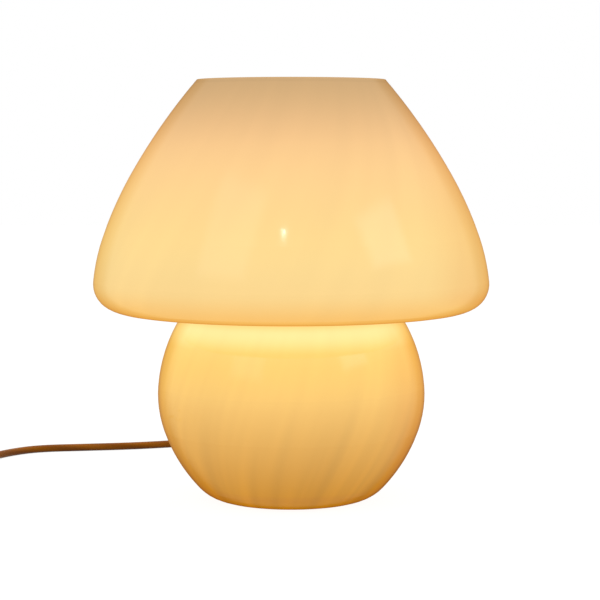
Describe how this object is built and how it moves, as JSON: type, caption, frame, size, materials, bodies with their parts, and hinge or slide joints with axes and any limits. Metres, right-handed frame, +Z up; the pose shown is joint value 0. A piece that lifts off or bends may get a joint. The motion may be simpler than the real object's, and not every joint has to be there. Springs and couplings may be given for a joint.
{
  "type": "table lamp",
  "caption": "Mushroom-shaped table lamp: one blown opal glass body with an open top, a screw-in bulb, and a lead with a rocker switch and a plug.",
  "frame": {"origin": "on the table, under the middle of the glass", "axes": "+Z up along the lamp's axis; the front looks along -Y; the lead leaves at the back, +Y"},
  "size_m": [0.4772, 0.3505, 0.273],
  "materials": {
    "opal_glass": "cream opal glass with a faint swirl, lit from inside",
    "steel": "zinc plated",
    "rubber": "matt",
    "brass": "turned",
    "bush_nylon": "moulded nylon",
    "holder_plastic": "moulded phenolic",
    "ceramic": "glazed ceramic",
    "frosted_glass": "frosted, lit",
    "cap_nickel": "nickel plated",
    "black_glass": "black glass",
    "solder": "solder",
    "clear_glass": "clear",
    "filament": "drawn wire",
    "amber_pvc": "extruded amber plastic",
    "core_pvc": "extruded",
    "switch_plastic": "moulded amber brown plastic",
    "collar_plastic": "moulded"
  },
  "bodies": {
    "lamp": {"glass_body": "opal_glass", "bottom_nut": "steel", "lower_washer": "steel", "spreader_disc": "steel", "dome_grub_screw": "steel", "switch_screws": "steel", "lower_gasket": "rubber", "upper_gasket": "rubber", "holder_collar": "brass", "bottom_nipple": "brass", "outlet_coupler": "brass", "upper_nipple": "brass", "screw_shell": "brass", "terminal_posts": "brass", "switch_contacts": "brass", "outlet_bush": "bush_nylon", "cord_stop": "bush_nylon", "holder_dome": "holder_plastic", "holder_skirt": "holder_plastic", "holder_insert": "ceramic", "plug_pins": "cap_nickel", "cable_grommet": "amber_pvc", "inner_lead": "amber_pvc", "cord_lead": "amber_pvc", "cord_link": "amber_pvc", "cord_coil": "amber_pvc", "cord_tail": "amber_pvc", "lead_cores": "core_pvc", "switch_base": "switch_plastic", "switch_cover": "switch_plastic", "plug_body": "switch_plastic", "plug_collars": "collar_plastic"},
    "contact_spindle": {"centre_contact": "brass"},
    "bulb": {"bulb_glass": "frosted_glass", "bulb_cap": "cap_nickel", "bulb_insulator": "black_glass", "bulb_tip": "solder", "bulb_stem": "clear_glass", "bulb_supports": "filament", "bulb_filament": "filament"},
    "rocker": {"switch_rocker": "switch_plastic"}
  },
  "joints": [
    {"name": "bulb_turn", "type": "hinge", "parent": "lamp", "child": "contact_spindle", "pos_m": [0, 0, 0.0617], "axis": [0, 0, 1], "range_deg": [0, 1080]},
    {"name": "bulb_rise", "type": "slide", "parent": "contact_spindle", "child": "bulb", "axis": [0, 0, 1], "range_m": [0, 0.0109]},
    {"name": "switch_tip", "type": "hinge", "parent": "lamp", "child": "rocker", "pos_m": [-0.24, 0.04, 0.0132], "axis": [1, 0, 0], "range_deg": [0, 18]}
  ],
  "couplings": [
    {"joint": "bulb_rise", "follows": "bulb_turn", "m_per_rad": 0.00057614}
  ]
}
